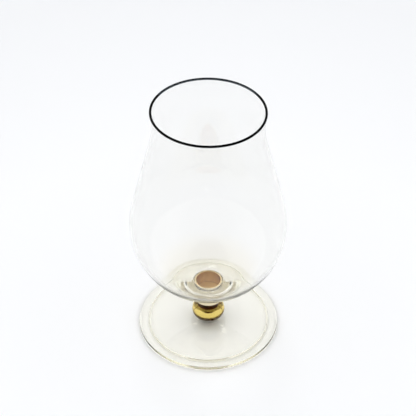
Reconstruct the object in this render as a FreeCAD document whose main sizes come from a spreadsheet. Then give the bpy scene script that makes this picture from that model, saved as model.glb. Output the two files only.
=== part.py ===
import FreeCAD, Part
import math
import os
import Sketcher

# Table oil lamp of hot-joined glass.
#
# A clear tulip bowl is open at the top. Its bottom is thick in the middle and is drawn down into a short round well,
# and a small metal burner lifts out of that well. The bowl stands on an amber neck, an amber knop and an amber
# folded foot. The burner is a cup with a collar round its mouth. It holds the oil under a round wick plate, and the
# wick slides in a tube in the plate.
#
# Millimetres, +Z up. The origin is on the lamp's axis, on the surface that the foot stands on.

OUTPUT_FOLDER = "parts"
TOP_VIEW = FreeCAD.Vector(0, 0, 1)
FULL_TURN = 360.0
FILL_HOLES = 2
HOLE_TOLERANCE = 0.01

DRIVING_SIZES = {
    # foot: a blown disc whose edge is folded under, so the edge is a double-thick band
    "footRadius": 59.0,
    "footEdgeThickness": 3.3,
    "foldRadius": 50.6,
    "foldCreaseWidth": 1.2,
    "foldCreaseDepth": 0.7,
    "restRadius": 47.0,
    "hollowHeight": 2.0,
    "hollowCurve": 300.0,
    "pontilRadius": 9.0,
    "pontilDepth": 0.5,
    "footRiseRadius": 19.0,
    "footRiseHeight": 4.7,
    "footFillet": 20.0,
    # knop: a flattened ball between two flat joins
    "knopBase": 7.4,
    "knopTop": 20.2,
    "knopJoinRadius": 9.2,
    "knopCurve": 6.8,
    # neck: a waisted gather between the knop and the bowl
    "neckTop": 26.0,
    "neckTopRadius": 9.7,
    "neckWaistCurve": 5.5,
    # bowl
    "rimHeight": 220.0,
    "wall": 1.6,
    "waistRadius": 42.9,
    "waistHeight": 205.9,
    "waistCurve": 73.3,
    "bellyRadius": 62.9,
    "bellyHeight": 109.7,
    "bellyCurve": 68.6,
    "bottomCurve": 62.1,
    "floorCurve": 60.9,
    "coneRadius": 38.2,
    # well in the bowl's bottom
    "wellOuterRadius": 12.3,
    "wellShoulderHeight": 29.2,
    "wellShoulderCurve": 3.2,
    "wellFlareCurve": 8.0,
    "wellBore": 11.1,
    "wellFloor": 28.0,
    "ledgeHeight": 43.8,
    "ledgeRadius": 12.5,
    "edgeRounding": 0.8,
    # burner cup and its collar, measured up from the well's floor
    "cupRadius": 10.8,
    "cupWall": 0.5,
    "cupHeight": 18.0,
    "cupCorner": 1.0,
    "collarRadius": 12.1,
    "collarHeight": 2.0,
    "collarRounding": 0.55,
    "seatHeight": 5.2,
    "seatWidth": 0.9,
    "seatThickness": 0.6,
    # wick plate, tube and wick
    "plateClearance": 0.3,
    "plateThickness": 0.6,
    "fillHoleRadius": 1.5,
    "fillHoleDistance": 6.0,
    "tubeRadius": 1.7,
    "tubeWall": 0.45,
    "tubeFlange": 0.8,
    "tubeFlangeThickness": 0.3,
    "tubeDrop": 3.0,
    "wickClearance": 0.05,
    "wickTip": 0.25,
    "wickFloorGap": 0.3,
}


class Size:
    """A length and the sheet expression that gives the same length."""

    def __init__(self, value, text):
        self.value = value
        self.text = text

    def __add__(self, other):
        return Size(self.value + other.value, "(%s + %s)" % (self.text, other.text))

    def __sub__(self, other):
        return Size(self.value - other.value, "(%s - %s)" % (self.text, other.text))

    def half(self):
        return Size(self.value / 2, "(%s / 2)" % self.text)


class Sheet:
    """The driving dimensions, each of which is read by its name as a Size."""

    def __init__(self, doc, sizes):
        self.cells = doc.addObject("Spreadsheet::Sheet", "Sizes")
        for row, (name, value) in enumerate(sizes.items(), start=1):
            self.cells.set("A%d" % row, name)
            self.cells.set("B%d" % row, str(value))
            self.cells.setAlias("B%d" % row, name)
        self.sizes = sizes

    def __getattr__(self, name):
        return Size(self.sizes[name], "Sizes." + name)


ZERO = Size(0.0, "0")


def plane(body, role):
    """The body's own origin plane with this role."""
    return next(feature for feature in body.Origin.OriginFeatures if feature.Role == role)


def new_body(doc, name):
    body = doc.addObject("PartDesign::Body", name)
    body.Label = name
    return body


def new_sketch(body, name, role):
    sketch = body.newObject("Sketcher::SketchObject", name)
    sketch.AttachmentSupport = [(plane(body, role), "")]
    sketch.MapMode = "FlatFace"
    return sketch


class Outline:
    """A closed half-section in the XZ plane: X is the radius and Y is the height.

    It is drawn as one run of lines and arcs. A corner is pinned to sheet sizes. A smooth join has no size of its own:
    the tangents of the two pieces that meet there settle it.
    """

    def __init__(self, body, name):
        self.sketch = new_sketch(body, name, "XZ_Plane")
        self.edges = []

    def bind(self, kind, items, size):
        """Adds a constraint whose number follows the sheet."""
        index = self.sketch.addConstraint(Sketcher.Constraint(kind, *items, size.value))
        self.sketch.setExpression("Constraints[%d]" % index, size.text)

    def pin(self, edge, place, radius, height):
        """Holds a point of an edge at a radius and a height: place 1 is its start, 2 its end and 3 its centre."""
        if radius is ZERO:
            self.sketch.addConstraint(Sketcher.Constraint("PointOnObject", edge, place, -2))
        elif radius is not None:
            self.bind("DistanceX", (-1, 1, edge, place), radius)
        if height is ZERO:
            self.sketch.addConstraint(Sketcher.Constraint("PointOnObject", edge, place, -1))
        elif height is not None:
            self.bind("DistanceY", (-1, 1, edge, place), height)

    def line(self, first, last, upright=False, level=False):
        start = FreeCAD.Vector(first[0], first[1], 0)
        end = FreeCAD.Vector(last[0], last[1], 0)
        edge = self.sketch.addGeometry(Part.LineSegment(start, end))
        if upright:
            self.sketch.addConstraint(Sketcher.Constraint("Vertical", edge))
        if level:
            self.sketch.addConstraint(Sketcher.Constraint("Horizontal", edge))
        self.edges.append((edge, 1, 2))
        return edge

    def arc(self, first, last, radius, left):
        """An arc of under half a turn from first to last. Its centre is on the left of that way, or on the right."""
        across = math.hypot(last[0] - first[0], last[1] - first[1])
        reach = math.sqrt(max(radius ** 2 - (across / 2) ** 2, 0.0))
        side = 1 if left else -1
        centre_r = (first[0] + last[0]) / 2 - side * reach * (last[1] - first[1]) / across
        centre_z = (first[1] + last[1]) / 2 + side * reach * (last[0] - first[0]) / across
        ends = (first, last) if left else (last, first)
        angles = [math.atan2(point[1] - centre_z, point[0] - centre_r) for point in ends]
        if angles[1] < angles[0]:
            angles[1] += 2 * math.pi
        circle = Part.Circle(FreeCAD.Vector(centre_r, centre_z, 0), TOP_VIEW, radius)
        edge = self.sketch.addGeometry(Part.ArcOfCircle(circle, angles[0], angles[1]))
        self.edges.append((edge, 1, 2) if left else (edge, 2, 1))
        return edge

    def join(self, index, smooth):
        """Joins the edge with this index to the one after it."""
        edge, _, last = self.edges[index]
        following, first, _ = self.edges[(index + 1) % len(self.edges)]
        kind = "Tangent" if smooth else "Coincident"
        self.sketch.addConstraint(Sketcher.Constraint(kind, edge, last, following, first))

    def close(self, smooth=()):
        """Joins the whole run, with a tangent after each edge that smooth names."""
        for index, edge in enumerate(self.edges):
            self.join(index, edge[0] in smooth)


def curved(body, name, corners):
    """An outline through corners, each (radius, height) or (radius, height, curve, left).

    A corner with a curve is reached from the one before it by an arc of that radius, whose centre is on the left of
    the way or on the right.
    """
    outline = Outline(body, name)
    for index, corner in enumerate(corners):
        before = corners[index - 1]
        first = (before[0].value, before[1].value)
        last = (corner[0].value, corner[1].value)
        if len(corner) == 2:
            outline.line(first, last)
        else:
            edge = outline.arc(first, last, corner[2].value, corner[3])
            outline.bind("Radius", (edge,), corner[2])
    outline.close()
    for index, corner in enumerate(corners):
        edge, _, last = outline.edges[index]
        outline.pin(edge, last, corner[0], corner[1])
    return outline


def turn(body, outline, name):
    """Turns an outline about the lamp's axis."""
    turned = body.newObject("PartDesign::Revolution", name)
    turned.Profile = outline.sketch
    turned.ReferenceAxis = (outline.sketch, ["V_Axis"])
    turned.Angle = FULL_TURN
    return turned


def lift(body, height):
    """Places a body at a height on the lamp's axis."""
    body.setExpression(".Placement.Base.z", height.text)


def make_foot(doc, size):
    """The amber foot: a thin disc with a folded edge that swells up to the knop at its centre.

    It is hollow beneath, and the mark of the pontil is ground out of the middle of the hollow.
    """
    body = new_body(doc, "foot")
    edge_half = size.footEdgeThickness.half()
    crease_half = size.foldCreaseWidth.half()
    band_radius = size.footRadius - edge_half
    crease_bottom = size.footEdgeThickness - size.foldCreaseDepth
    corners = [
        (ZERO, size.hollowHeight + size.pontilDepth),
        (size.pontilRadius, size.hollowHeight + size.pontilDepth),
        (size.pontilRadius + size.pontilDepth, size.hollowHeight),
        (size.restRadius, ZERO, size.hollowCurve, False),
        (band_radius, ZERO),
        (size.footRadius, edge_half, edge_half, True),
        (band_radius, size.footEdgeThickness, edge_half, True),
        (size.foldRadius + crease_half, size.footEdgeThickness),
        (size.foldRadius, crease_bottom, size.foldCreaseWidth, True),
        (size.foldRadius - crease_half, size.footEdgeThickness, size.foldCreaseWidth, True),
        (size.footRiseRadius, size.footRiseHeight),
        (size.knopJoinRadius, size.knopBase, size.footFillet, False),
        (ZERO, size.knopBase),
    ]
    turn(body, curved(body, "foot_outline", corners), "foot_turned")
    return body


def make_knop(doc, size):
    """The amber knop: a ball of glass pressed flat where it joins the foot and the neck."""
    body = new_body(doc, "knop")
    corners = [
        (ZERO, size.knopBase),
        (size.knopJoinRadius, size.knopBase),
        (size.knopJoinRadius, size.knopTop, size.knopCurve, True),
        (ZERO, size.knopTop),
    ]
    turn(body, curved(body, "knop_outline", corners), "knop_turned")
    return body


def make_neck(doc, size):
    """The amber neck: a waisted gather that carries the bowl."""
    body = new_body(doc, "neck")
    corners = [
        (ZERO, size.knopTop),
        (size.knopJoinRadius, size.knopTop),
        (size.neckTopRadius, size.neckTop, size.neckWaistCurve, False),
        (ZERO, size.neckTop),
    ]
    turn(body, curved(body, "neck_outline", corners), "neck_turned")
    return body


def make_bowl(doc, size):
    """The clear bowl, blown in one piece with the well in its bottom.

    Outside, from the neck up: the well's round foot and its upright wall, the flare, the cone under the thick floor,
    the bottom, the belly, a straight shoulder and the waist under the rim. Inside, the same shapes come back down to
    the bowl's floor, the ledge for the collar and the well's bore.
    """
    body = new_body(doc, "bowl")
    outline = Outline(body, "bowl_outline")
    wall_half = size.wall.half()
    lip_height = size.rimHeight - wall_half
    belly_centre = size.bellyRadius - size.bellyCurve
    waist_centre = size.waistRadius + size.waistCurve

    # Rough places for the smooth joins, which have no sizes of their own. The tangents move each one to where it is.
    rough = {
        "flare_low": (12.3, 33.5),
        "flare_high": (15.4, 39.8),
        "cone_top": (38.2, 57.6),
        "bottom_end": (54.0, 76.0),
        "belly_end": (60.8, 126.5),
        "waist_start": (45.2, 187.8),
        "lip_out": (44.0, 219.2),
        "bottom_back": (56.0, 84.0),
        "floor_edge": (13.3, 48.2),
        "ledge_top": (12.5, 47.4),
    }
    base_out = (size.neckTopRadius.value, size.neckTop.value)
    well_foot = (size.wellOuterRadius.value, size.wellShoulderHeight.value)
    lip_out = rough["lip_out"]
    lip_in = (lip_out[0] - size.wall.value, lip_out[1])
    waist_back = (rough["waist_start"][0] - size.wall.value, rough["waist_start"][1])
    belly_back = (rough["belly_end"][0] - size.wall.value, rough["belly_end"][1])
    ledge_out = (size.ledgeRadius.value, size.ledgeHeight.value)
    ledge_in = (size.wellBore.value, size.ledgeHeight.value)
    bore_low = (size.wellBore.value, size.wellFloor.value + size.edgeRounding.value)
    floor_out = (size.wellBore.value - size.edgeRounding.value, size.wellFloor.value)

    outline.line((0.0, size.neckTop.value), base_out, level=True)
    well_round = outline.arc(base_out, well_foot, size.wellShoulderCurve.value, True)
    well_side = outline.line(well_foot, rough["flare_low"], upright=True)
    flare = outline.arc(rough["flare_low"], rough["flare_high"], size.wellFlareCurve.value, False)
    cone = outline.line(rough["flare_high"], rough["cone_top"])
    bottom = outline.arc(rough["cone_top"], rough["bottom_end"], size.bottomCurve.value, True)
    belly = outline.arc(rough["bottom_end"], rough["belly_end"], size.bellyCurve.value, True)
    shoulder = outline.line(rough["belly_end"], rough["waist_start"])
    waist = outline.arc(rough["waist_start"], lip_out, size.waistCurve.value, False)
    lip = outline.arc(lip_out, lip_in, wall_half.value, True)
    waist_inside = outline.arc(lip_in, waist_back, size.waistCurve.value + size.wall.value, True)
    shoulder_inside = outline.line(waist_back, belly_back)
    belly_inside = outline.arc(belly_back, rough["bottom_back"], size.bellyCurve.value - size.wall.value, False)
    floor = outline.arc(rough["bottom_back"], rough["floor_edge"], size.floorCurve.value, False)
    floor_round = outline.arc(rough["floor_edge"], rough["ledge_top"], size.edgeRounding.value, True)
    ledge_wall = outline.line(rough["ledge_top"], ledge_out, upright=True)
    ledge = outline.line(ledge_out, ledge_in, level=True)
    bore = outline.line(ledge_in, bore_low, upright=True)
    bore_round = outline.arc(bore_low, floor_out, size.edgeRounding.value, False)
    well_base = outline.line(floor_out, (0.0, size.wellFloor.value), level=True)
    outline.line((0.0, size.wellFloor.value), (0.0, size.neckTop.value), upright=True)

    smooth = (well_side, flare, cone, bottom, belly, shoulder, waist_inside, shoulder_inside, belly_inside, floor,
              floor_round, bore, bore_round)
    outline.close(smooth)

    outline.pin(well_round, 1, size.neckTopRadius, size.neckTop)
    outline.pin(well_round, 2, size.wellOuterRadius, size.wellShoulderHeight)
    outline.bind("Radius", (well_round,), size.wellShoulderCurve)
    outline.bind("Radius", (flare,), size.wellFlareCurve)
    outline.pin(bottom, 3, ZERO, None)
    outline.bind("Radius", (bottom,), size.bottomCurve)
    outline.pin(cone, 2, size.coneRadius, None)
    outline.pin(belly, 3, belly_centre, size.bellyHeight)
    outline.bind("Radius", (belly,), size.bellyCurve)
    outline.pin(waist, 3, waist_centre, size.waistHeight)
    outline.bind("Radius", (waist,), size.waistCurve)
    for place in (1, 2, 3):
        outline.pin(lip, place, None, lip_height)
    for inner, outer, radius in (
        (waist_inside, waist, size.waistCurve + size.wall),
        (belly_inside, belly, size.bellyCurve - size.wall),
    ):
        outline.sketch.addConstraint(Sketcher.Constraint("Coincident", inner, 3, outer, 3))
        outline.bind("Radius", (inner,), radius)
    outline.pin(floor, 3, ZERO, None)
    outline.bind("Radius", (floor,), size.floorCurve)
    outline.bind("Radius", (floor_round,), size.edgeRounding)
    outline.pin(ledge_wall, 2, size.ledgeRadius, size.ledgeHeight)
    outline.pin(ledge, 2, size.wellBore, None)
    outline.bind("Radius", (bore_round,), size.edgeRounding)
    outline.pin(well_base, 2, ZERO, size.wellFloor)
    turn(body, outline, "bowl_turned")
    return body


def make_burner_cup(doc, size):
    """The spun metal cup that holds the oil. A bead round its inside is the seat of the wick plate."""
    body = new_body(doc, "burner_cup")
    bore = size.cupRadius - size.cupWall
    seat_edge = bore - size.seatWidth
    corner_inside = size.cupCorner - size.cupWall
    corners = [
        (ZERO, ZERO),
        (size.cupRadius - size.cupCorner, ZERO),
        (size.cupRadius, size.cupCorner, size.cupCorner, True),
        (size.cupRadius, size.cupHeight),
        (bore, size.cupHeight),
        (bore, size.seatHeight),
        (seat_edge, size.seatHeight),
        (seat_edge, size.seatHeight - size.seatThickness),
        (bore, size.seatHeight - size.seatThickness),
        (bore, size.cupCorner),
        (bore - corner_inside, size.cupWall, corner_inside, False),
        (ZERO, size.cupWall),
    ]
    turn(body, curved(body, "burner_cup_outline", corners), "burner_cup_turned")
    lift(body, size.wellFloor)
    return body


def make_cup_collar(doc, size):
    """The collar pressed on round the cup's mouth, with both outer edges rounded."""
    body = new_body(doc, "cup_collar")
    flat_radius = size.collarRadius - size.collarRounding
    corners = [
        (size.cupRadius, ZERO),
        (flat_radius, ZERO),
        (size.collarRadius, size.collarRounding, size.collarRounding, True),
        (size.collarRadius, size.collarHeight - size.collarRounding),
        (flat_radius, size.collarHeight, size.collarRounding, True),
        (size.cupRadius, size.collarHeight),
    ]
    turn(body, curved(body, "cup_collar_outline", corners), "cup_collar_turned")
    lift(body, size.wellFloor + size.cupHeight - size.collarHeight)
    return body


def make_wick_plate(doc, size):
    """The round plate over the oil, with a hole for the wick tube and a fill hole on each side of it."""
    body = new_body(doc, "wick_plate")
    radius = size.cupRadius - size.cupWall - size.plateClearance
    corners = [
        (size.tubeRadius, ZERO),
        (radius, ZERO),
        (radius, size.plateThickness),
        (size.tubeRadius, size.plateThickness),
    ]
    turn(body, curved(body, "wick_plate_outline", corners), "wick_plate_turned")

    hole = new_sketch(body, "fill_hole_outline", "XY_Plane")
    centre = FreeCAD.Vector(size.fillHoleDistance.value, 0, 0)
    hole.addGeometry(Part.Circle(centre, TOP_VIEW, size.fillHoleRadius.value))
    hole.addConstraint(Sketcher.Constraint("PointOnObject", 0, 3, -1))
    for kind, items, length in (
        ("DistanceX", (-1, 1, 0, 3), size.fillHoleDistance),
        ("Radius", (0,), size.fillHoleRadius),
    ):
        index = hole.addConstraint(Sketcher.Constraint(kind, *items, length.value))
        hole.setExpression("Constraints[%d]" % index, length.text)

    pocket = body.newObject("PartDesign::Pocket", "fill_hole")
    pocket.Profile = hole
    pocket.Type = "ThroughAll"
    pocket.Reversed = True
    pattern = body.newObject("PartDesign::PolarPattern", "fill_holes")
    pattern.Originals = [pocket]
    pattern.Axis = (hole, ["N_Axis"])
    pattern.Angle = FULL_TURN
    pattern.Occurrences = FILL_HOLES
    body.Tip = pattern
    lift(body, size.wellFloor + size.seatHeight)
    return body


def make_wick_tube(doc, size):
    """The tube swaged into the wick plate. Its flange lies on the plate, and its lower end hangs in the oil."""
    body = new_body(doc, "wick_tube")
    bore = size.tubeRadius - size.tubeWall
    flange = size.tubeRadius + size.tubeFlange
    corners = [
        (bore, ZERO - size.tubeDrop),
        (size.tubeRadius, ZERO - size.tubeDrop),
        (size.tubeRadius, ZERO),
        (flange, ZERO),
        (flange, size.tubeFlangeThickness),
        (bore, size.tubeFlangeThickness),
    ]
    turn(body, curved(body, "wick_tube_outline", corners), "wick_tube_turned")
    lift(body, size.wellFloor + size.seatHeight + size.plateThickness)
    return body


def make_wick(doc, size):
    """The round fibre wick. Its foot is just clear of the cup's floor, and its tip is level with the tube."""
    body = new_body(doc, "wick")
    radius = size.tubeRadius - size.tubeWall - size.wickClearance
    foot = size.cupWall + size.wickFloorGap
    tip = size.seatHeight + size.plateThickness + size.tubeFlangeThickness + size.wickTip
    corners = [
        (ZERO, ZERO),
        (radius, ZERO),
        (radius, tip - foot),
        (ZERO, tip - foot),
    ]
    turn(body, curved(body, "wick_outline", corners), "wick_turned")
    lift(body, size.wellFloor + foot)
    return body


def check(doc, bodies):
    """Stops before anything is written if a feature failed or a piece isn't one sound solid."""
    for item in doc.Objects:
        if "Invalid" in item.State or "Error" in item.State:
            raise RuntimeError("%s failed: %s" % (item.Name, item.State))
    for body in bodies:
        shape = body.Shape
        if shape.isNull() or not shape.isValid() or len(shape.Solids) != 1:
            raise RuntimeError("%s isn't one valid solid" % body.Label)
    plate = next(body for body in bodies if body.Label == "wick_plate")
    uncut = next(item for item in plate.Group if item.Name == "wick_plate_turned")
    hole_area = math.pi * DRIVING_SIZES["fillHoleRadius"] ** 2
    expected = FILL_HOLES * hole_area * DRIVING_SIZES["plateThickness"]
    removed = uncut.Shape.Volume - plate.Shape.Volume
    if abs(removed - expected) > HOLE_TOLERANCE * expected:
        raise RuntimeError("the fill holes removed %.3f" % removed)


def main():
    doc = FreeCAD.newDocument("oil_lamp")
    size = Sheet(doc, DRIVING_SIZES)
    doc.recompute()
    makers = (make_foot, make_knop, make_neck, make_bowl, make_burner_cup, make_cup_collar, make_wick_plate,
              make_wick_tube, make_wick)
    bodies = [maker(doc, size) for maker in makers]
    doc.recompute()
    check(doc, bodies)
    os.makedirs(OUTPUT_FOLDER, exist_ok=True)
    for body in bodies:
        body.Shape.exportStep(os.path.join(OUTPUT_FOLDER, body.Label + ".step"))
        print("%-11s %9.1f mm3" % (body.Label, body.Shape.Volume))


main()
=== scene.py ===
import math

import bmesh
import bpy
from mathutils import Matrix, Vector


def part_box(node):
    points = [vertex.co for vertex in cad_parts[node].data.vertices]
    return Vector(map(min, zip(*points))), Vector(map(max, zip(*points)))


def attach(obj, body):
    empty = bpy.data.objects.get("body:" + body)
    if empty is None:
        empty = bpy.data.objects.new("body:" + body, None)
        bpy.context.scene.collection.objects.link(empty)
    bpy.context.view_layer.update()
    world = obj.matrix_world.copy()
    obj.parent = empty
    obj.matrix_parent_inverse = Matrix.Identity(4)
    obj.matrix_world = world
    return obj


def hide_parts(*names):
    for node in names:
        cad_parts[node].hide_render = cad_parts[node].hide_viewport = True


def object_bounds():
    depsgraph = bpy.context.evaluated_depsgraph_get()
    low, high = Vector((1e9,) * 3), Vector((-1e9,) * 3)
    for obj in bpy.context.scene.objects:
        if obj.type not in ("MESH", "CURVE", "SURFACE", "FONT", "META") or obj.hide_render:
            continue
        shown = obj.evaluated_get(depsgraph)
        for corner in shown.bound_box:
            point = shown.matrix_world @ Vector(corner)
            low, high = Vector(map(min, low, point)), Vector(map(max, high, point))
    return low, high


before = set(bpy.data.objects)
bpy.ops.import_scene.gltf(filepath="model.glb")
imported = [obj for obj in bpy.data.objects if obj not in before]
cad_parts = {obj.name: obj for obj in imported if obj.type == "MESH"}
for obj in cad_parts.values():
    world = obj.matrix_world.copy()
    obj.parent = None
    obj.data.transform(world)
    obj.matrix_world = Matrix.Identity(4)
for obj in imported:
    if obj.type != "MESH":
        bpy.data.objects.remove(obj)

cadLow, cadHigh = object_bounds()
lampHeight = cadHigh.z
tau = 2 * math.pi
print("stage: frame loaded, lamp", round(lampHeight * 1000), "mm high")


def scene():
    return bpy.context.scene


# outlines: half-sections of turned pieces. A corner is (radius, height), or (radius, height, curve, left)
# where an arc of that radius leads to it, with its centre on the left of the way or on the right.

def straightPoints(first, last, longest):
    steps = max(1, math.ceil(math.dist(first, last) / longest))
    return [tuple(a + (b - a) * i / steps for a, b in zip(first, last)) for i in range(1, steps + 1)]


def bendPoints(first, last, curve, left, turnStep):
    across = math.dist(first, last)
    reach = math.sqrt(max(curve ** 2 - across ** 2 / 4, 0.0))
    side = 1 if left else -1
    centre = ((first[0] + last[0]) / 2 - side * reach * (last[1] - first[1]) / across,
              (first[1] + last[1]) / 2 + side * reach * (last[0] - first[0]) / across)
    start = math.atan2(first[1] - centre[1], first[0] - centre[0])
    turn = side * 2 * math.asin(min(1.0, across / 2 / curve))
    steps = max(2, math.ceil(abs(turn) / turnStep))
    angles = [start + turn * i / steps for i in range(1, steps + 1)]
    return [(centre[0] + curve * math.cos(a), centre[1] + curve * math.sin(a)) for a in angles]


def traceOutline(corners, longest, turnStep):
    onAxis = corners[0][0] == 0
    points = [corners[0][:2]] if onAxis else []
    for index in range(1 if onAxis else 0, len(corners)):
        first, corner = corners[index - 1][:2], corners[index]
        if len(corner) == 2:
            points += straightPoints(first, corner, longest)
        else:
            points += bendPoints(first, corner[:2], corner[2], corner[3], turnStep)
    return points if onAxis else [points[-1]] + points


# Geometry Nodes helpers

def addNode(tree, kind, inputs=None, **settings):
    node = tree.nodes.new(kind)
    for name, value in settings.items():
        setattr(node, name, value)
    for name, value in (inputs or {}).items():
        if isinstance(value, bpy.types.NodeSocket):
            tree.links.new(value, node.inputs[name])
        else:
            node.inputs[name].default_value = value
    return node


def mathNode(tree, operation, first, second=0.0):
    return addNode(tree, "ShaderNodeMath", {0: first, 1: second}, operation=operation).outputs[0]


# parts of an outline that take another finish
zone = {"plain": 0.0, "join": 1.0, "lip": 4.0, "ground": 16.0}
zoneMargin = 0.01


def isZone(tree, flag, value):
    return addNode(tree, "ShaderNodeMath", {0: flag, 1: value, 2: zoneMargin}, operation="COMPARE").outputs[0]


def newTree(name, sockets):
    tree = bpy.data.node_groups.new(name, "GeometryNodeTree")
    tree.interface.new_socket("Geometry", in_out="INPUT", socket_type="NodeSocketGeometry")
    for label, kind in sockets.items():
        tree.interface.new_socket(label, in_out="INPUT", socket_type="NodeSocket" + kind)
    tree.interface.new_socket("Geometry", in_out="OUTPUT", socket_type="NodeSocketGeometry")
    return tree, tree.nodes.new("NodeGroupInput").outputs, tree.nodes.new("NodeGroupOutput").inputs


latheInputs = {"Segments": "Int", "Lean": "Float", "Lean From": "Float", "Lean To": "Float", "Reach": "Float",
               "Finish": "Material", "Join Finish": "Material", "Lip Finish": "Material",
               "Ground Finish": "Material"}
mergeDistance = 2e-6
sharpBend = 0.6        # radians between faces, above which an edge stays sharp


# turns an outline, given as a chain of vertices, about the lamp's axis
def buildLatheTree():
    tree, given, out = newTree("turnedPiece", latheInputs)
    rows = addNode(tree, "GeometryNodeAttributeDomainSize", {"Geometry": given["Geometry"]})
    columns = mathNode(tree, "ADD", given["Segments"], 1.0)
    grid = addNode(tree, "GeometryNodeMeshGrid",
                   {"Vertices X": rows.outputs["Point Count"], "Vertices Y": columns})
    index = addNode(tree, "GeometryNodeInputIndex").outputs[0]
    row = mathNode(tree, "FLOOR", mathNode(tree, "DIVIDE", mathNode(tree, "ADD", index, 0.5), columns))
    column = mathNode(tree, "SUBTRACT", index, mathNode(tree, "MULTIPLY", row, columns))
    angle = mathNode(tree, "MULTIPLY", mathNode(tree, "DIVIDE", column, given["Segments"]), tau)
    place = addNode(tree, "GeometryNodeInputPosition").outputs[0]
    outline = addNode(tree, "GeometryNodeSampleIndex", {"Geometry": given["Geometry"], "Index": row},
                      data_type="FLOAT_VECTOR")
    tree.links.new(place, outline.inputs["Value"])
    rowZone = addNode(tree, "GeometryNodeInputNamedAttribute", {"Name": "zone"}, data_type="FLOAT")
    sampled = addNode(tree, "GeometryNodeSampleIndex", {"Geometry": given["Geometry"], "Index": row},
                      data_type="FLOAT")
    tree.links.new(rowZone.outputs["Attribute"], sampled.inputs["Value"])
    turned = addNode(tree, "ShaderNodeVectorRotate", {"Vector": outline.outputs[0], "Angle": angle},
                     rotation_type="Z_AXIS").outputs[0]
    # the rim is not quite level: one side is let down a little, fading out below
    spot = addNode(tree, "ShaderNodeSeparateXYZ", {"Vector": turned}).outputs
    share = addNode(tree, "ShaderNodeMapRange",
                    {"Value": spot["Z"], "From Min": given["Lean From"], "From Max": given["Lean To"]},
                    interpolation_type="SMOOTHSTEP")
    side = mathNode(tree, "ADD", mathNode(tree, "DIVIDE", spot["X"], given["Reach"]), 1.0)
    drop = mathNode(tree, "MULTIPLY", mathNode(tree, "MULTIPLY", side, given["Lean"]), share.outputs[0])
    down = addNode(tree, "ShaderNodeCombineXYZ", {"Z": mathNode(tree, "MULTIPLY", drop, -0.5)}).outputs[0]
    placed = addNode(tree, "ShaderNodeVectorMath", {0: turned, 1: down}, operation="ADD").outputs[0]
    flagged = addNode(tree, "GeometryNodeStoreNamedAttribute",
                      {"Geometry": grid.outputs["Mesh"], "Name": "zone", "Value": sampled.outputs[0]},
                      data_type="FLOAT", domain="POINT")
    laid = addNode(tree, "GeometryNodeSetPosition", {"Geometry": flagged.outputs[0], "Position": placed})
    merged = addNode(tree, "GeometryNodeMergeByDistance",
                     {"Geometry": laid.outputs[0], "Distance": mergeDistance})
    smooth = addNode(tree, "GeometryNodeSetShadeSmooth",
                     {"Geometry": merged.outputs[0], "Shade Smooth": True})
    bend = addNode(tree, "GeometryNodeInputMeshEdgeAngle").outputs["Unsigned Angle"]
    bent = mathNode(tree, "GREATER_THAN", bend, sharpBend)
    sharp = addNode(tree, "GeometryNodeSetShadeSmooth",
                    {"Geometry": smooth.outputs[0], "Selection": bent, "Shade Smooth": False}, domain="EDGE")
    realized = addNode(tree, "GeometryNodeRealizeInstances", {"Geometry": sharp.outputs[0]})
    finished = addNode(tree, "GeometryNodeSetMaterial",
                       {"Geometry": realized.outputs[0], "Material": given["Finish"]})
    flag = addNode(tree, "GeometryNodeInputNamedAttribute", {"Name": "zone"}, data_type="FLOAT")
    faceFlag = addNode(tree, "GeometryNodeFieldOnDomain", {"Value": flag.outputs["Attribute"]},
                       data_type="FLOAT", domain="FACE")
    joins = addNode(tree, "GeometryNodeSetMaterial",
                    {"Geometry": finished.outputs[0], "Material": given["Join Finish"],
                     "Selection": isZone(tree, faceFlag.outputs[0], zone["join"])})
    lip = addNode(tree, "GeometryNodeSetMaterial",
                  {"Geometry": joins.outputs[0], "Material": given["Lip Finish"],
                   "Selection": isZone(tree, faceFlag.outputs[0], zone["lip"])})
    ground = addNode(tree, "GeometryNodeSetMaterial",
                     {"Geometry": lip.outputs[0], "Material": given["Ground Finish"],
                      "Selection": isZone(tree, faceFlag.outputs[0], zone["ground"])})
    tree.links.new(ground.outputs[0], out["Geometry"])
    return tree


latheTree = buildLatheTree()


def applyTree(source, tree, values, name):
    modifier = source.modifiers.new("make", "NODES")
    modifier.node_group = tree
    identifiers = {item.name: item.identifier for item in tree.interface.items_tree if item.in_out == "INPUT"}
    for label, value in values.items():
        modifier[identifiers[label]] = value
    bpy.context.view_layer.update()
    mesh = bpy.data.meshes.new_from_object(source.evaluated_get(bpy.context.evaluated_depsgraph_get()))
    mesh.name = name
    source.modifiers.remove(modifier)
    bpy.data.objects.remove(source)
    body = bmesh.new()
    body.from_mesh(mesh)
    if body.calc_volume(signed=True) < 0:
        bmesh.ops.reverse_faces(body, faces=body.faces)
        body.to_mesh(mesh)
    body.free()
    piece = bpy.data.objects.new(name, mesh)
    scene().collection.objects.link(piece)
    return piece


# finishes names the material of each zone that isn't plain, and lean says how the rim is let down
def turnPiece(name, corners, finish, segments, finishes=None, zoneOf=None, lean=None, **tracing):
    points = traceOutline(corners, **tracing)
    mesh = bpy.data.meshes.new(name + "Outline")
    mesh.from_pydata([(r, 0, z) for r, z in points], [(i, i + 1) for i in range(len(points) - 1)], [])
    flags = mesh.attributes.new("zone", "FLOAT", "POINT")
    for index, point in enumerate(points):
        flags.data[index].value = zoneOf(*point) if zoneOf else zone["plain"]
    source = bpy.data.objects.new(name + "Outline", mesh)
    scene().collection.objects.link(source)
    values = {"Segments": segments, "Lean": 0.0, "Lean From": 0.0, "Lean To": 1.0,
              "Reach": max(r for r, _ in points), "Finish": finish, "Join Finish": finish,
              "Lip Finish": finish, "Ground Finish": finish}
    values.update(lean or {})
    values.update(finishes or {})
    return applyTree(source, latheTree, values, name)


# materials

def newMaterial(name):
    material = bpy.data.materials.new(name)
    material.use_nodes = True
    tree = material.node_tree
    shader = tree.nodes["Principled BSDF"]
    return material, tree, shader


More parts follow.
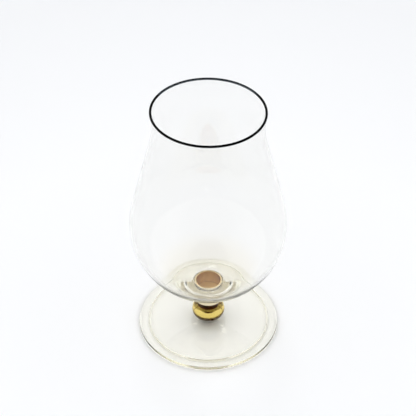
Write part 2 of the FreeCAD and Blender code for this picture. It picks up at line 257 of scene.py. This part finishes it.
glassIor = 1.5
wornShare = 0.985
bumpHeight = 0.001


# a colour that runs from one tone to another as share goes from 0 to 1
def blendTones(tree, share, first, second):
    sides = [tone if isinstance(tone, bpy.types.NodeSocket) else (*tone, 1) for tone in (first, second)]
    blend = addNode(tree, "ShaderNodeMix", {0: share, "A": sides[0], "B": sides[1]}, data_type="RGBA")
    return blend.outputs["Result"]


def smoothShare(tree, value, start, end):
    return addNode(tree, "ShaderNodeMapRange", {"Value": value, "From Min": start, "From Max": end},
                   interpolation_type="SMOOTHSTEP").outputs[0]


def noiseNode(tree, place, scale, detail=2.0):
    return addNode(tree, "ShaderNodeTexNoise", {"Vector": place, "Scale": scale, "Detail": detail}).outputs[0]


def objectPlace(tree):
    return addNode(tree, "ShaderNodeTexCoord").outputs["Object"]


def addBump(tree, shader, height, strength, distance):
    bump = addNode(tree, "ShaderNodeBump", {"Height": height, "Strength": strength, "Distance": distance})
    tree.links.new(bump.outputs[0], shader.inputs["Normal"])


def addDepth(tree, look):
    volume = addNode(tree, "ShaderNodeVolumeAbsorption",
                     {"Color": (*look["absorbed"], 1), "Density": look["density"]})
    tree.links.new(volume.outputs[0], tree.nodes["Material Output"].inputs["Volume"])


# a gather of glass: a slow drift of tone and a faint waviness. A darkening below is a darker colour below the
# height where it is full, and is gone by the other height; on the knop and the neck it is painted shade. Both
# are metres above the lamp's foot.
def glassMaterial(name, look):
    material, tree, shader = newMaterial(name)
    place = objectPlace(tree)
    worn = tuple(wornShare * part for part in look["base"])
    tone = blendTones(tree, noiseNode(tree, place, look["driftScale"]), look["base"], worn)
    if "darkeningBelow" in look:
        darkeningBelow = look["darkeningBelow"]
        height = addNode(tree, "ShaderNodeSeparateXYZ", {"Vector": place}).outputs["Z"]
        share = smoothShare(tree, height, darkeningBelow["full"], darkeningBelow["gone"])
        tone = blendTones(tree, share, darkeningBelow["colour"], tone)
    tree.links.new(tone, shader.inputs["Base Color"])
    shader.inputs["Roughness"].default_value = 0.0
    shader.inputs["IOR"].default_value = glassIor
    shader.inputs["Specular Tint"].default_value = (*look.get("sheen", (1, 1, 1)), 1)
    shader.inputs["Transmission Weight"].default_value = 1.0
    addBump(tree, shader, noiseNode(tree, place, look["rippleScale"]), look["ripple"], bumpHeight)
    addDepth(tree, look)
    return material


# the face inside fused glass, where one gather was joined to the next: only a trace of cord shows there
seam = {"pale": (1, 1, 1), "dark": (0.985, 0.98, 0.97), "cordScale": 300.0, "cordDetail": 3.0}


def joinMaterial(name, look):
    material, tree, shader = newMaterial(name)
    tree.nodes.remove(shader)
    cord = noiseNode(tree, objectPlace(tree), seam["cordScale"], seam["cordDetail"])
    film = blendTones(tree, cord, seam["pale"], seam["dark"])
    clearing = addNode(tree, "ShaderNodeBsdfTransparent", {"Color": film})
    tree.links.new(clearing.outputs[0], tree.nodes["Material Output"].inputs["Surface"])
    addDepth(tree, look)
    return material


wavy = {"driftScale": 30.0, "rippleScale": 60.0, "ripple": 0.03}
amber = {"base": (1.0, 0.995, 0.98), "absorbed": (0.80, 0.68, 0.10), "density": 66.0, **wavy}
# painted shade: the knop's near-black skin low down stands in for the dark surroundings seen through the
# glass at the crease above the foot
knopLook = {**amber, "darkeningBelow": {"colour": (0.02, 0.008, 0.001), "full": 0.0136, "gone": 0.0158},
            "sheen": (0.7, 0.5, 0.2)}
# painted shade: the whole neck is darkened, standing in for the dark surroundings seen through the glass
neckLook = {**amber, "darkeningBelow": {"colour": (0.18, 0.06, 0.006), "full": 0.028, "gone": 0.030},
            "sheen": (0.3, 0.12, 0.01)}
# painted light: the foot is the same amber glass as the knop, given a paler tint and less depth of colour
# where bright light washes it out
footLitAmber = {"base": (0.985, 0.983, 0.978), "absorbed": (0.84, 0.78, 0.24), "density": 17.0,
             "driftScale": 30.0, "rippleScale": 40.0, "ripple": 0.02}
# the bowl's glass is a little darker and warmer towards the bottom
clear = {"base": (0.985, 0.985, 0.98), "absorbed": (0.55, 0.56, 0.30), "density": 9.0, "driftScale": 30.0,
         "rippleScale": 25.0, "ripple": 0.03,
         "darkeningBelow": {"colour": (0.955, 0.935, 0.88), "full": 0.052, "gone": 0.066}}
knopGlass = glassMaterial("knopGlass", knopLook)
neckGlass = glassMaterial("neckGlass", neckLook)
amberJoin = joinMaterial("amberJoin", amber)
footGlass = glassMaterial("footGlass", footLitAmber)
footJoin = joinMaterial("footJoin", footLitAmber)
clearGlass = glassMaterial("clearGlass", clear)
clearJoin = joinMaterial("clearJoin", clear)


# the well's bore, ground to size with coarse grit
ground = {"pale": (0.78, 0.70, 0.50), "dark": (0.70, 0.62, 0.43), "roughness": 0.8, "gritScale": 900.0,
          "gritDetail": 5.0, "bump": 0.3, "bumpHeight": 0.0002}


def groundMaterial(name, look):
    material, tree, shader = newMaterial(name)
    grit = noiseNode(tree, objectPlace(tree), look["gritScale"], look["gritDetail"])
    tree.links.new(blendTones(tree, grit, look["dark"], look["pale"]), shader.inputs["Base Color"])
    shader.inputs["Roughness"].default_value = look["roughness"]
    addBump(tree, shader, grit, look["bump"], look["bumpHeight"])
    return material


groundGlass = groundMaterial("groundGlass", ground)


# the fire-polished lip, painted as a dark line the same all the way round: painted shade standing in for the
# dark surroundings seen through the rim
paintedDarkLip = {"dark": (0.0, 0.0005, 0.001), "pale": (0.006, 0.008, 0.010), "roughness": 0.05, "ior": 1.1,
          "unevenScale": 60.0}


def lipMaterial(name, look):
    material, tree, shader = newMaterial(name)
    uneven = noiseNode(tree, objectPlace(tree), look["unevenScale"])
    tree.links.new(blendTones(tree, uneven, look["dark"], look["pale"]), shader.inputs["Base Color"])
    shader.inputs["Roughness"].default_value = look["roughness"]
    shader.inputs["IOR"].default_value = look["ior"]
    shader.inputs["Transmission Weight"].default_value = 1.0
    return material


paintedLipGlass = lipMaterial("paintedLipGlass", paintedDarkLip)


# spun brass: blotches of tarnish, fine rings left by the lathe, and darker low down
bronzed = {"pale": (0.71, 0.53, 0.23), "dark": (0.61, 0.43, 0.18), "oil": (0.50, 0.36, 0.17),
           "oilLow": 0.027, "oilHigh": 0.0335, "roughness": 0.35, "rings": 2500.0}
polished = {"pale": (0.66, 0.56, 0.36), "dark": (0.58, 0.47, 0.29), "oil": (0.42, 0.33, 0.19),
            "oilLow": 0.029, "oilHigh": 0.034, "roughness": 0.28, "rings": 3500.0}
tarnish = {"scale": 220.0, "detail": 6.0, "from": 0.3, "to": 0.7, "smoother": 0.06, "rougher": 0.08}
latheMarks = {"detail": 3.0, "bump": 0.15, "bumpHeight": 0.00005}


def brassMaterial(name, look):
    material, tree, shader = newMaterial(name)
    shader.inputs["Metallic"].default_value = 1.0
    place = objectPlace(tree)
    spot = addNode(tree, "ShaderNodeSeparateXYZ", {"Vector": place}).outputs
    flat = addNode(tree, "ShaderNodeCombineXYZ", {"X": spot["X"], "Y": spot["Y"]}).outputs[0]
    radius = addNode(tree, "ShaderNodeVectorMath", {0: flat}, operation="LENGTH").outputs["Value"]
    across = addNode(tree, "ShaderNodeCombineXYZ", {"X": radius, "Z": spot["Z"]}).outputs[0]
    blotch = noiseNode(tree, place, tarnish["scale"], tarnish["detail"])
    ramp = addNode(tree, "ShaderNodeValToRGB", {"Fac": blotch})
    stops = ((look["dark"], tarnish["from"]), (look["pale"], tarnish["to"]))
    for stop, (colour, position) in zip(ramp.color_ramp.elements, stops):
        stop.color = (*colour, 1)
        stop.position = position
    oiled = smoothShare(tree, spot["Z"], look["oilLow"], look["oilHigh"])
    tree.links.new(blendTones(tree, oiled, look["oil"], ramp.outputs[0]), shader.inputs["Base Color"])
    smoothest, roughest = look["roughness"] - tarnish["smoother"], look["roughness"] + tarnish["rougher"]
    rough = addNode(tree, "ShaderNodeMapRange", {"Value": blotch, "To Min": smoothest, "To Max": roughest})
    tree.links.new(rough.outputs[0], shader.inputs["Roughness"])
    rings = noiseNode(tree, across, look["rings"], latheMarks["detail"])
    addBump(tree, shader, rings, latheMarks["bump"], latheMarks["bumpHeight"])
    return material


bronzedBrass = brassMaterial("bronzedBrass", bronzed)
polishedBrass = brassMaterial("polishedBrass", polished)


# cotton: a fine fibre grain, charred at the tip
cotton = {"pale": (0.80, 0.75, 0.64), "shade": (0.60, 0.54, 0.44), "char": (0.16, 0.13, 0.10),
          "charFrom": 0.0338, "charTo": 0.0344, "fibreScale": 4000.0, "fibreDetail": 4.0, "roughness": 0.95,
          "bump": 0.6, "bumpHeight": 0.0001}


def wickMaterial(name, look):
    material, tree, shader = newMaterial(name)
    place = objectPlace(tree)
    fibre = noiseNode(tree, place, look["fibreScale"], look["fibreDetail"])
    height = addNode(tree, "ShaderNodeSeparateXYZ", {"Vector": place}).outputs["Z"]
    burnt = smoothShare(tree, height, look["charFrom"], look["charTo"])
    thread = blendTones(tree, fibre, look["shade"], look["pale"])
    tree.links.new(blendTones(tree, burnt, thread, look["char"]), shader.inputs["Base Color"])
    shader.inputs["Roughness"].default_value = look["roughness"]
    addBump(tree, shader, fibre, look["bump"], look["bumpHeight"])
    return material


wickFibre = wickMaterial("wickFibre", cotton)
print("stage: materials made")

# the glass: outlines in metres

join = {"gap": 0.00001, "knopRadius": 0.0092, "neckTopRadius": 0.0097, "knopCurve": 0.0068,
        "neckCurve": 0.0055}
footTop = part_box("foot")[1].z
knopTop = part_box("knop")[1].z
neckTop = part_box("neck")[1].z

foot = {"radius": 0.059, "edge": 0.0033, "foldRadius": 0.0506, "creaseWidth": 0.0012, "creaseDepth": 0.0007,
        "restRadius": 0.047, "hollow": 0.002, "hollowCurve": 0.3, "pontilRadius": 0.009,
        "pontilDepth": 0.0005, "riseRadius": 0.019, "riseHeight": 0.0047, "fillet": 0.020}


def footCorners():
    half = foot["edge"] / 2
    band = foot["radius"] - half
    crease = foot["creaseWidth"] / 2
    top = footTop - join["gap"]
    return [(0, foot["hollow"] + foot["pontilDepth"]),
            (foot["pontilRadius"], foot["hollow"] + foot["pontilDepth"]),
            (foot["pontilRadius"] + foot["pontilDepth"], foot["hollow"]),
            (foot["restRadius"], 0, foot["hollowCurve"], False),
            (band, 0),
            (foot["radius"], half, half, True),
            (band, foot["edge"], half, True),
            (foot["foldRadius"] + crease, foot["edge"]),
            (foot["foldRadius"], foot["edge"] - foot["creaseDepth"], foot["creaseWidth"], True),
            (foot["foldRadius"] - crease, foot["edge"], foot["creaseWidth"], True),
            (foot["riseRadius"], foot["riseHeight"]),
            (join["knopRadius"], top, foot["fillet"], False),
            (0, top)]


def knopCorners():
    low, high = footTop + join["gap"], knopTop - join["gap"]
    return [(0, low),
            (join["knopRadius"], low),
            (join["knopRadius"], high, join["knopCurve"], True),
            (0, high)]


def neckCorners():
    low, high = knopTop + join["gap"], neckTop - join["gap"]
    return [(0, low),
            (join["knopRadius"], low),
            (join["neckTopRadius"], high, join["neckCurve"], False),
            (0, high)]


bowl = {"wall": 0.0016, "waistRadius": 0.0429, "waistHeight": 0.2059, "waistCurve": 0.0733,
        "bellyRadius": 0.0629, "bellyHeight": 0.1097, "bellyCurve": 0.0686, "bottomCurve": 0.0621,
        "coneRadius": 0.0382, "floorCurve": 0.0609, "wellRadius": 0.0123, "shoulderHeight": 0.0292,
        "shoulderCurve": 0.0032, "flareCurve": 0.008, "bore": 0.0111, "wellFloor": 0.028,
        "ledgeHeight": 0.0438, "ledgeRadius": 0.0125, "rounding": 0.0008, "ledgeMargin": 0.002}
lip = {"bead": 0.00095, "depth": 0.0019}


# where the straight shoulder leaves the belly's circle and meets the waist's
def shoulderEnds(bellyCentre, bellyCurve, waistCentre, waistCurve):
    apart = math.dist(bellyCentre, waistCentre)
    way = [(b - a) / apart for a, b in zip(bellyCentre, waistCentre)]
    near = (bellyCurve + waistCurve) / apart
    off = math.sqrt(1 - near ** 2)
    normal = (way[0] * near + way[1] * off, way[1] * near - way[0] * off)
    low = tuple(c + bellyCurve * n for c, n in zip(bellyCentre, normal))
    high = tuple(c - waistCurve * n for c, n in zip(waistCentre, normal))
    return low, high


# the centre of a circle on the axis that touches the belly's circle from inside, and where they touch
def bottomOf(bellyCentre, bellyCurve, bottomCurve):
    spare = bellyCurve - bottomCurve
    centre = (0, bellyCentre[1] - math.sqrt(spare ** 2 - bellyCentre[0] ** 2))
    touch = tuple(b + (c - b) * bellyCurve / spare for b, c in zip(bellyCentre, centre))
    return centre, touch


def bowlCorners():
    wall, half, bead = bowl["wall"], bowl["wall"] / 2, lip["bead"]
    lipBase = lampHeight - bead - math.sqrt(bead ** 2 - half ** 2)
    bellyCentre = (bowl["bellyRadius"] - bowl["bellyCurve"], bowl["bellyHeight"])
    waistCentre = (bowl["waistRadius"] + bowl["waistCurve"], bowl["waistHeight"])
    corners = [(0, neckTop + join["gap"]), (join["neckTopRadius"], neckTop + join["gap"]),
               (bowl["wellRadius"], bowl["shoulderHeight"], bowl["shoulderCurve"], True)]
    bottomCentre, bottomEnd = bottomOf(bellyCentre, bowl["bellyCurve"], bowl["bottomCurve"])
    slope = math.asin(bowl["coneRadius"] / bowl["bottomCurve"])
    coneTop = (bowl["bottomCurve"] * math.sin(slope), bottomCentre[1] - bowl["bottomCurve"] * math.cos(slope))
    flareEdge = bowl["wellRadius"] + bowl["flareCurve"] * (1 - math.sin(slope))
    flareEnd = (flareEdge, coneTop[1] - (coneTop[0] - flareEdge) * math.tan(slope))
    flareFoot = flareEnd[1] - bowl["flareCurve"] * math.cos(slope)
    low, high = shoulderEnds(bellyCentre, bowl["bellyCurve"], waistCentre, bowl["waistCurve"])
    lipOut = waistCentre[0] - math.sqrt(bowl["waistCurve"] ** 2 - (lipBase - waistCentre[1]) ** 2)
    corners += [(bowl["wellRadius"], flareFoot),
                (*flareEnd, bowl["flareCurve"], False),
                coneTop,
                (*bottomEnd, bowl["bottomCurve"], True),
                (*low, bowl["bellyCurve"], True),
                high,
                (lipOut, lipBase, bowl["waistCurve"], False)]
    insideCurve = bowl["waistCurve"] + wall
    lipIn = waistCentre[0] - math.sqrt(insideCurve ** 2 - (lipBase - waistCentre[1]) ** 2)
    lowIn, highIn = shoulderEnds(bellyCentre, bowl["bellyCurve"] - wall, waistCentre, insideCurve)
    floorCentre, floorStart = bottomOf(bellyCentre, bowl["bellyCurve"] - wall, bowl["floorCurve"])
    rounding = bowl["rounding"]
    edgeOut = bowl["ledgeRadius"] + rounding
    edgeReach = bowl["floorCurve"] + rounding
    edgeCentre = (edgeOut, floorCentre[1] - math.sqrt(edgeReach ** 2 - edgeOut ** 2))
    floorEnd = tuple(f + (e - f) * bowl["floorCurve"] / edgeReach for f, e in zip(floorCentre, edgeCentre))
    corners += [((lipIn + lipOut) / 2, lampHeight, bead, True),
                (lipIn, lipBase, bead, True),
                (*highIn, insideCurve, True),
                lowIn,
                (*floorStart, bowl["bellyCurve"] - wall, False),
                (*floorEnd, bowl["floorCurve"], False),
                (bowl["ledgeRadius"], edgeCentre[1], rounding, True),
                (bowl["ledgeRadius"], bowl["ledgeHeight"]),
                (bowl["bore"], bowl["ledgeHeight"]),
                (bowl["bore"], bowl["wellFloor"] + rounding),
                (bowl["bore"] - rounding, bowl["wellFloor"], rounding, False),
                (0, bowl["wellFloor"])]
    return corners


def atJoin(radius, height):
    near = any(abs(height - level) < 2 * join["gap"] for level in (footTop, knopTop, neckTop))
    return zone["join"] if near else zone["plain"]


def atBowl(radius, height):
    if height > lampHeight - lip["depth"]:
        return zone["lip"]
    low, high = bowl["wellFloor"], bowl["ledgeHeight"] + bowl["ledgeMargin"]
    if radius < bowl["ledgeRadius"] + join["gap"] and low < height < high:
        return zone["ground"] if radius > bowl["bore"] - join["gap"] else zone["plain"]
    return atJoin(radius, height)


# the drop at the bowl's widest reach, were it all at the rim, and the heights between which it grows
rimLean = {"Lean": 0.0012, "Lean From": 0.17, "Lean To": lampHeight}
fineGlass = {"turnStep": math.radians(2), "longest": 0.002, "segments": 192}


def showGlass():
    bowlFinishes = {"Join Finish": clearJoin, "Lip Finish": paintedLipGlass, "Ground Finish": groundGlass}
    made = (
        ("foot", footCorners(), footGlass, {"Join Finish": footJoin}, atJoin, None, "amber_glass"),
        ("knop", knopCorners(), knopGlass, {"Join Finish": amberJoin}, atJoin, None, "amber_glass"),
        ("neck", neckCorners(), neckGlass, {"Join Finish": amberJoin}, atJoin, None, "amber_glass"),
        ("bowl", bowlCorners(), clearGlass, bowlFinishes, atBowl, rimLean, "clear_glass"),
    )
    for node, corners, finish, finishes, zoneOf, lean, slotName in made:
        piece = turnPiece(node + "Glass", corners, finish, finishes=finishes, zoneOf=zoneOf, lean=lean,
                          **fineGlass)
        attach(piece, "lamp")
        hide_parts(node)
        print("piece", piece.name, len(piece.data.polygons), "faces")


showGlass()
print("stage: glass made")

# the burner: cup and collar turned afresh, plate and tube as they are, and a braided wick

cup = {"radius": 0.0108, "wall": 0.0005, "height": 0.018, "corner": 0.001, "seat": 0.0052,
       "seatWidth": 0.0009, "seatThickness": 0.0006}


def cupCorners():
    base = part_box("burner_cup")[0].z
    bore, seat = cup["radius"] - cup["wall"], base + cup["seat"]
    inner = cup["corner"] - cup["wall"]
    return [(0, base),
            (cup["radius"] - cup["corner"], base),
            (cup["radius"], base + cup["corner"], cup["corner"], True),
            (cup["radius"], base + cup["height"]),
            (bore, base + cup["height"]),
            (bore, seat),
            (bore - cup["seatWidth"], seat),
            (bore - cup["seatWidth"], seat - cup["seatThickness"]),
            (bore, seat - cup["seatThickness"]),
            (bore, base + cup["corner"]),
            (bore - inner, base + cup["wall"], inner, False),
            (0, base + cup["wall"])]


collar = {"radius": 0.0121, "height": 0.002, "rounding": 0.00055}


def collarCorners():
    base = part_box("cup_collar")[0].z
    flat, top = collar["radius"] - collar["rounding"], base + collar["height"]
    return [(cup["radius"], top),
            (cup["radius"], base),
            (flat, base),
            (collar["radius"], base + collar["rounding"], collar["rounding"], True),
            (collar["radius"], top - collar["rounding"]),
            (flat, top, collar["rounding"], True),
            (cup["radius"], top)]


spun = {"segments": 128, "longest": 0.001, "turnStep": math.radians(10)}


def showBurner():
    made = (("burner_cup", cupCorners(), bronzedBrass, "bronzed_brass"),
            ("cup_collar", collarCorners(), polishedBrass, "polished_brass"))
    for node, corners, finish, slotName in made:
        piece = turnPiece(node + "Spun", corners, finish, **spun)
        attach(piece, "burner")
        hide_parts(node)
        print("piece", piece.name, len(piece.data.polygons), "faces")
    for node, finish in (("wick_plate", bronzedBrass), ("wick_tube", polishedBrass)):
        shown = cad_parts[node]
        shown.data.materials.clear()
        shown.data.materials.append(finish)


showBurner()
print("stage: burner made")


# a round braid: strands wind both ways and pass over and under each other, round a plain core
braidInputs = {"Strands Each Way": "Int", "Turns": "Float", "Radius": "Float", "Strand Radius": "Float",
               "Weave Depth": "Float", "Low": "Float", "High": "Float", "Fray": "Float", "Seed": "Int",
               "Finish": "Material"}
strandPoints, strandSides, coreSides = 72, 8, 32


def buildBraidTree():
    tree, given, out = newTree("braidedWick", braidInputs)
    start = addNode(tree, "GeometryNodeCurvePrimitiveLine", {"Start": (0, 0, 0), "End": (0, 0, 1)})
    fine = addNode(tree, "GeometryNodeResampleCurve", {"Curve": start.outputs[0], "Count": strandPoints})
    count = mathNode(tree, "MULTIPLY", given["Strands Each Way"], 2.0)
    many = addNode(tree, "GeometryNodeDuplicateElements", {"Geometry": fine.outputs[0], "Amount": count},
                   domain="SPLINE")
    copy = many.outputs["Duplicate Index"]
    numbered = addNode(tree, "GeometryNodeStoreNamedAttribute",
                       {"Geometry": many.outputs[0], "Name": "strand", "Value": copy},
                       data_type="FLOAT", domain="CURVE")
    named = addNode(tree, "GeometryNodeInputNamedAttribute", {"Name": "strand"}, data_type="FLOAT")
    strand = named.outputs[0]
    along = addNode(tree, "GeometryNodeSplineParameter").outputs["Factor"]
    # every other strand winds the other way
    odd = mathNode(tree, "MODULO", strand, 2.0)
    way = mathNode(tree, "SUBTRACT", mathNode(tree, "MULTIPLY", odd, 2.0), 1.0)
    pair = mathNode(tree, "FLOOR", mathNode(tree, "DIVIDE", strand, 2.0))
    phase = mathNode(tree, "MULTIPLY", mathNode(tree, "DIVIDE", pair, given["Strands Each Way"]), tau)
    wound = mathNode(tree, "MULTIPLY", mathNode(tree, "MULTIPLY", along, given["Turns"]), tau)
    angle = mathNode(tree, "ADD", phase, mathNode(tree, "MULTIPLY", wound, way))
    # over at one crossing and under at the next
    cross = mathNode(tree, "COSINE", mathNode(tree, "MULTIPLY", wound, given["Strands Each Way"]))
    over = mathNode(tree, "MULTIPLY", mathNode(tree, "MULTIPLY", cross, way), given["Weave Depth"])
    reach = mathNode(tree, "ADD", given["Radius"], over)
    fray = addNode(tree, "FunctionNodeRandomValue", {"ID": strand, "Seed": given["Seed"]}, data_type="FLOAT")
    cut = mathNode(tree, "MULTIPLY", fray.outputs["Value"], given["Fray"])
    top = mathNode(tree, "SUBTRACT", given["High"], cut)
    height = addNode(tree, "ShaderNodeMapRange", {"Value": along, "To Min": given["Low"], "To Max": top})
    acrossX = mathNode(tree, "MULTIPLY", reach, mathNode(tree, "COSINE", angle))
    acrossY = mathNode(tree, "MULTIPLY", reach, mathNode(tree, "SINE", angle))
    spot = addNode(tree, "ShaderNodeCombineXYZ", {"X": acrossX, "Y": acrossY, "Z": height.outputs[0]})
    laid = addNode(tree, "GeometryNodeSetPosition",
                   {"Geometry": numbered.outputs[0], "Position": spot.outputs[0]})
    ring = addNode(tree, "GeometryNodeCurvePrimitiveCircle",
                   {"Resolution": strandSides, "Radius": given["Strand Radius"]})
    strands = addNode(tree, "GeometryNodeCurveToMesh",
                      {"Curve": laid.outputs[0], "Profile Curve": ring.outputs[0], "Fill Caps": True})
    tall = mathNode(tree, "SUBTRACT", mathNode(tree, "SUBTRACT", given["High"], given["Fray"]), given["Low"])
    core = addNode(tree, "GeometryNodeMeshCylinder",
                   {"Vertices": coreSides, "Radius": given["Radius"], "Depth": tall})
    lift = mathNode(tree, "ADD", given["Low"], mathNode(tree, "MULTIPLY", tall, 0.5))
    raised = addNode(tree, "ShaderNodeCombineXYZ", {"Z": lift}).outputs[0]
    stood = addNode(tree, "GeometryNodeTransform", {"Geometry": core.outputs[0], "Translation": raised})
    both = addNode(tree, "GeometryNodeJoinGeometry")
    tree.links.new(strands.outputs[0], both.inputs[0])
    tree.links.new(stood.outputs[0], both.inputs[0])
    smooth = addNode(tree, "GeometryNodeSetShadeSmooth", {"Geometry": both.outputs[0], "Shade Smooth": True})
    realized = addNode(tree, "GeometryNodeRealizeInstances", {"Geometry": smooth.outputs[0]})
    finished = addNode(tree, "GeometryNodeSetMaterial",
                       {"Geometry": realized.outputs[0], "Material": given["Finish"]})
    tree.links.new(finished.outputs[0], out["Geometry"])
    return tree


def showWick():
    low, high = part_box("wick")
    inset = 0.00012        # keeps the tilted ends of the strands inside the wick's height
    braid = {"Strands Each Way": 6, "Turns": 1.6, "Radius": 0.00088, "Strand Radius": 0.0002,
             "Weave Depth": 0.00008, "Low": low.z + inset, "High": high.z - inset, "Fray": 0.0003, "Seed": 7,
             "Finish": wickFibre}
    source = bpy.data.objects.new("wickStart", bpy.data.meshes.new("wickStart"))
    scene().collection.objects.link(source)
    piece = applyTree(source, buildBraidTree(), braid, "wickBraid")
    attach(piece, "wick")
    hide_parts("wick")
    print("piece", piece.name, len(piece.data.polygons), "faces")


showWick()
print("stage: wick made")


# floor, light and camera

# painted shade: the floor darkens a little away from the lamp, between the two fade distances, a painted
# falloff of the light
floorLook = {"half": 3.0, "drop": -0.0002, "near": (0.93, 0.935, 0.945), "far": (0.865, 0.872, 0.885),
             "fadeFrom": 0.24, "fadeTo": 0.55, "roughness": 0.6, "specular": 0.1}


def makeStage():
    half, drop = floorLook["half"], floorLook["drop"]
    mesh = bpy.data.meshes.new("floor")
    corners = [(-half, -half, drop), (half, -half, drop), (half, half, drop), (-half, half, drop)]
    mesh.from_pydata(corners, [], [(0, 1, 2, 3)])
    floor = bpy.data.objects.new("floor", mesh)
    scene().collection.objects.link(floor)
    material, tree, shader = newMaterial("paleFloor")
    away = addNode(tree, "ShaderNodeVectorMath", {0: objectPlace(tree)}, operation="LENGTH").outputs["Value"]
    fade = addNode(tree, "ShaderNodeMapRange", {"Value": away, "From Min": floorLook["fadeFrom"],
                                                "From Max": floorLook["fadeTo"]})
    shade = blendTones(tree, fade.outputs[0], floorLook["near"], floorLook["far"])
    tree.links.new(shade, shader.inputs["Base Color"])
    shader.inputs["Roughness"].default_value = floorLook["roughness"]
    shader.inputs["Specular IOR Level"].default_value = floorLook["specular"]
    mesh.materials.append(material)


# round patches of the surroundings, azimuth 0 being behind: a dimmer front, a dark overhead and, high behind,
# the softbox
studio = {"level": 1.39, "colour": (0.985, 0.99, 1.0), "patches": (
    {"azimuth": 180, "elevation": 35, "inner": 20, "outer": 60, "level": 1.05},
    {"azimuth": 0, "elevation": 85, "inner": 20, "outer": 34, "level": 0.05},
    {"azimuth": -10, "elevation": 66, "inner": 3, "outer": 8, "level": 6.0},
)}


def makeWorld():
    world = bpy.data.worlds.new("studio")
    scene().world = world
    world.use_nodes = True
    tree = world.node_tree
    background = tree.nodes["Background"]
    way = addNode(tree, "ShaderNodeTexCoord").outputs["Generated"]
    level = addNode(tree, "ShaderNodeValue").outputs[0]
    level.default_value = studio["level"]
    for patch in studio["patches"]:
        turn, rise = math.radians(patch["azimuth"]), math.radians(patch["elevation"])
        aim = (math.sin(turn) * math.cos(rise), math.cos(turn) * math.cos(rise), math.sin(rise))
        facing = addNode(tree, "ShaderNodeVectorMath", {0: way, 1: aim}, operation="DOT_PRODUCT")
        outer, inner = math.cos(math.radians(patch["outer"])), math.cos(math.radians(patch["inner"]))
        share = smoothShare(tree, facing.outputs["Value"], outer, inner)
        blend = addNode(tree, "ShaderNodeMix", {0: share, 2: level, 3: patch["level"]})
        level = blend.outputs[0]
    tree.links.new(level, background.inputs["Strength"])
    background.inputs["Color"].default_value = (*studio["colour"], 1)


lookDown = 40.23        # degrees below level
focalLength, sensorWidth = 102.8, 36.0        # millimetres
cameraPlace = (-0.0003, -3.264 * lampHeight, 3.329 * lampHeight)
glassBounces, sheenBounces = 64, 16


def makeCamera():
    data = bpy.data.cameras.new("camera")
    data.lens = focalLength
    data.sensor_width = sensorWidth
    data.clip_start = 0.01
    camera = bpy.data.objects.new("camera", data)
    camera.location = cameraPlace
    camera.rotation_euler = (math.radians(90 - lookDown), 0, 0)
    scene().collection.objects.link(camera)
    scene().camera = camera


makeStage()
makeWorld()
makeCamera()
scene().view_settings.view_transform = "Standard"
scene().cycles.max_bounces = glassBounces
scene().cycles.transmission_bounces = glassBounces
scene().cycles.glossy_bounces = sheenBounces
scene().cycles.blur_glossy = 0.0        # otherwise the floor under the glass goes dark
print("stage: floor, light and camera made")
